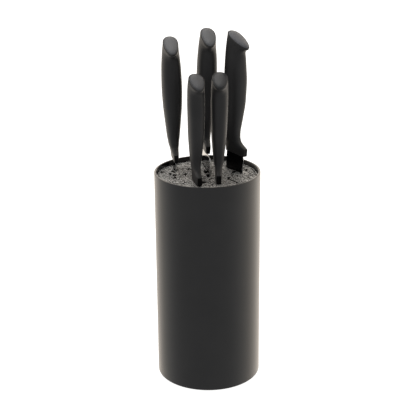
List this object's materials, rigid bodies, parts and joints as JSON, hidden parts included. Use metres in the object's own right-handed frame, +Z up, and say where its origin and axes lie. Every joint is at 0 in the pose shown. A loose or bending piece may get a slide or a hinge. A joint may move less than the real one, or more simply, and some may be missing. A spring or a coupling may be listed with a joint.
{
  "type": "knife block with knives",
  "caption": "Tall round black kitchen knife block with a lift-out bristle insert, holding large and small kitchen knives that slide out by their contoured handles.",
  "frame": {"origin": "centre of the block's footprint, on the surface it stands on", "axes": "+Z up along the block's axis, -Y towards the front where the short knives are, +X to the right seen from the front"},
  "size_m": [0.11, 0.11, 0.3672],
  "materials": {
    "casing": "soft-touch matt black",
    "base": "matt black",
    "foot_rubber": "matt non-slip",
    "holder": "matt black",
    "bristle": "grey bristle ends, dark between",
    "handle": "satin black soft-touch",
    "end_cap": "satin grey",
    "coated_blade": "smooth black non-stick coating on steel"
  },
  "bodies": {
    "block": {"casing": "casing", "base_plate": "base", "foot_1": "foot_rubber", "foot_2": "foot_rubber", "foot_3": "foot_rubber", "foot_4": "foot_rubber"},
    "insert": {"bristle_holder": "holder", "bristle_bed": "bristle"},
    "carving_knife": {"carving_blade": "coated_blade", "carving_handle": "handle", "carving_end_cap": "end_cap"},
    "chef_knife": {"chef_blade": "coated_blade", "chef_handle": "handle", "chef_end_cap": "end_cap"},
    "bread_knife": {"bread_blade": "coated_blade", "bread_handle": "handle", "bread_end_cap": "end_cap"},
    "utility_knife": {"utility_blade": "coated_blade", "utility_handle": "handle", "utility_end_cap": "end_cap"},
    "paring_knife": {"paring_blade": "coated_blade", "paring_handle": "handle", "paring_end_cap": "end_cap"}
  },
  "joints": [
    {"name": "insert_lift", "type": "slide", "parent": "block", "child": "insert", "axis": [0, 0, 1], "range_m": [0, 0.225]},
    {"name": "carving_pull", "type": "slide", "parent": "insert", "child": "carving_knife", "axis": [-0.0161, 0.0035, 0.9999], "range_m": [-0.0118, 0.2]},
    {"name": "chef_pull", "type": "slide", "parent": "insert", "child": "chef_knife", "axis": [0.0321, 0, 0.9995], "range_m": [-0.0182, 0.195]},
    {"name": "bread_pull", "type": "slide", "parent": "insert", "child": "bread_knife", "axis": [0.0297, -0.0047, 0.9995], "range_m": [-0.0186, 0.195]},
    {"name": "utility_pull", "type": "slide", "parent": "insert", "child": "utility_knife", "axis": [0.0131, -0.0105, 0.9999], "range_m": [0, 0.145]},
    {"name": "paring_pull", "type": "slide", "parent": "insert", "child": "paring_knife", "axis": [0.0204, 0.003, 0.9998], "range_m": [0, 0.105]}
  ]
}
